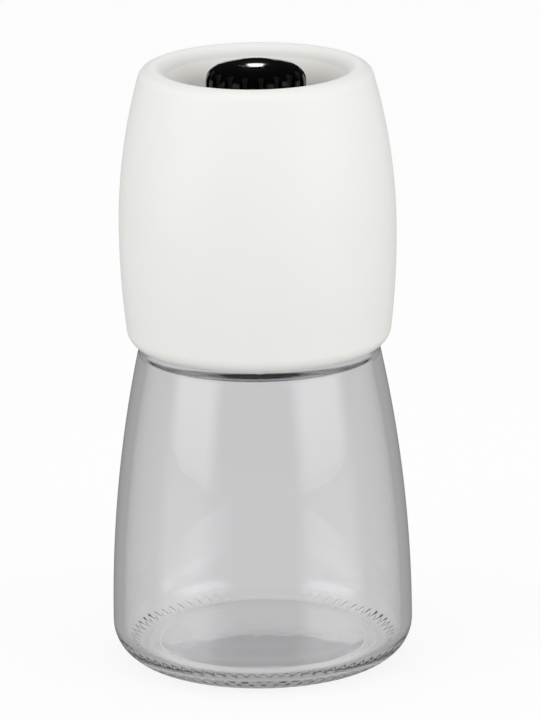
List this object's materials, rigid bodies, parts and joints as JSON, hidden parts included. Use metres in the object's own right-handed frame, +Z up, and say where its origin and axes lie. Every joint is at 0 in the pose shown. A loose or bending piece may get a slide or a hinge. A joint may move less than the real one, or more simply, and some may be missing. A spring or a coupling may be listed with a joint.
{
  "type": "sesame grinder",
  "caption": "Twist sesame grinder: glass jar, white barrel head that turns on a screwed collar, ceramic conical burrs, bowl outlet round a black gap-setting knob.",
  "frame": {"origin": "centre of the jar's foot, on the surface it stands on", "axes": "+Z up along the axis of the jar and head, +X to the right and -Y towards the viewer of the picture"},
  "size_m": [0.0676, 0.0676, 0.1371],
  "materials": {
    "jar_glass": "clear polished",
    "seal_silicone": "matte",
    "collar_black": "satin",
    "shell_white": "fine satin",
    "guide_white": "satin",
    "burr_ceramic": "unglazed, fine",
    "knob_black": "gloss",
    "insert_brass": "machined",
    "steel": "machined"
  },
  "bodies": {
    "jar": {"glass_jar": "jar_glass"},
    "seal": {"jar_seal": "seal_silicone"},
    "collar": {"jar_collar": "collar_black", "feed_spider": "collar_black", "drive_shaft": "steel", "head_washer": "steel", "shaft_clip": "steel", "spring_seat": "steel", "burr_spring": "steel", "slip_ring": "guide_white"},
    "head": {"outer_shell": "shell_white", "burr_housing": "shell_white", "outer_burr": "burr_ceramic", "burr_carrier": "guide_white", "carrier_screws": "steel"},
    "burr": {"inner_burr": "burr_ceramic", "burr_driver": "guide_white", "spring_cap": "steel", "thrust_washer": "guide_white"},
    "knob": {"adjusting_knob": "knob_black", "knob_insert": "insert_brass"}
  },
  "joints": [
    {"name": "unscrew_turn", "type": "hinge", "parent": "jar", "child": "seal", "pos_m": [0, 0, 0.087], "axis": [0, 0, 1], "range_deg": [0, 450]},
    {"name": "unscrew_lift", "type": "slide", "parent": "seal", "child": "collar", "axis": [0, 0, 1], "range_m": [0, 0.005]},
    {"name": "grind_turn", "type": "hinge", "parent": "collar", "child": "head", "pos_m": [0, 0, 0.0918], "axis": [0, 0, 1], "continuous": true},
    {"name": "burr_slide", "type": "slide", "parent": "collar", "child": "burr", "axis": [0, 0, 1], "range_m": [-0.0006, 0.001], "deforming": ["burr_spring"]},
    {"name": "knob_turn", "type": "hinge", "parent": "burr", "child": "knob", "pos_m": [0, 0, 0.1194], "axis": [0, 0, 1], "range_deg": [-270, 450]}
  ],
  "couplings": [
    {"joint": "unscrew_turn", "follows": "unscrew_lift", "rad_per_m": 1570.8},
    {"joint": "knob_turn", "follows": "burr_slide", "rad_per_m": 7853.9}
  ]
}
